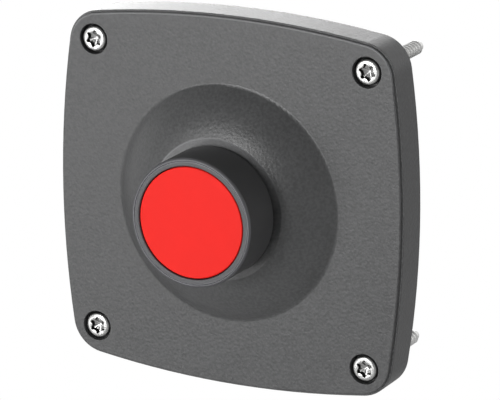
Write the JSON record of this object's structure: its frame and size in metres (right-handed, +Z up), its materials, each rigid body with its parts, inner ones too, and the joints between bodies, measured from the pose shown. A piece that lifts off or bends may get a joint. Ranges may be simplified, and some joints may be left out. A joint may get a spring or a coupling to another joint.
{
  "type": "recessed push button",
  "caption": "Square cover plate with bulged sides and a raised dome that carries a flush red push button, fixed over a wall box by corner screws, with a contact block behind.",
  "frame": {"origin": "middle of the mounting plane, where the rim gasket meets the wall", "axes": "+Z up, -Y out of the wall towards the user, +X to the right as the user sees it"},
  "size_m": [0.086, 0.0547, 0.086],
  "materials": {
    "plate_plastic": "finely grained dark grey moulding, satin",
    "barrel_plastic": "smooth black-grey moulding, satin",
    "bezel_plastic": "mid-grey moulding, satin",
    "cap_plastic": "bright red, matte",
    "plunger_plastic": "black, matte",
    "nut_plastic": "black glass-filled, matte",
    "collar_plastic": "dark grey, matte",
    "block_plastic": "light grey, matte",
    "slider_plastic": "natural white, matte",
    "seal_rubber": "black, matte",
    "screw_steel": "stainless, bright",
    "plated_steel": "zinc plated",
    "spring_steel": "drawn spring wire",
    "contact_brass": "rolled strip",
    "contact_silver": "silver alloy"
  },
  "bodies": {
    "plate": {"front_plate": "plate_plastic", "rim_gasket": "seal_rubber", "cover_screws": "screw_steel", "screw_seals": "seal_rubber", "head_barrel": "barrel_plastic", "bezel_ring": "bezel_plastic", "head_gasket": "seal_rubber", "anti_turn_washer": "plated_steel", "lock_nut": "nut_plastic", "coupling_collar": "collar_plastic", "collar_screw": "plated_steel", "return_spring": "spring_steel", "contact_housing": "block_plastic", "contact_cover": "block_plastic", "fixed_contact_top": "contact_brass", "fixed_contact_bottom": "contact_brass", "fixed_tips": "contact_silver", "terminal_screws": "plated_steel", "terminal_clamps": "plated_steel", "contact_spring": "spring_steel"},
    "button": {"red_cap": "cap_plastic", "actuator": "plunger_plastic", "plunger_seal": "seal_rubber", "retaining_clip": "spring_steel"},
    "slider": {"contact_plunger": "slider_plastic", "bridge_contact": "contact_brass", "bridge_tips": "contact_silver", "bridge_washer": "spring_steel", "bridge_spring": "spring_steel"}
  },
  "joints": [
    {"name": "button_press", "type": "slide", "parent": "plate", "child": "button", "axis": [0, 1, 0], "range_m": [0, 0.004], "stiffness_N_per_m": 900, "deforming": ["return_spring"]},
    {"name": "contact_slide", "type": "slide", "parent": "plate", "child": "slider", "axis": [0, 1, 0], "range_m": [0, 0.004], "stiffness_N_per_m": 300, "deforming": ["contact_spring"]}
  ],
  "couplings": [
    {"joint": "contact_slide", "follows": "button_press", "ratio": 1}
  ]
}
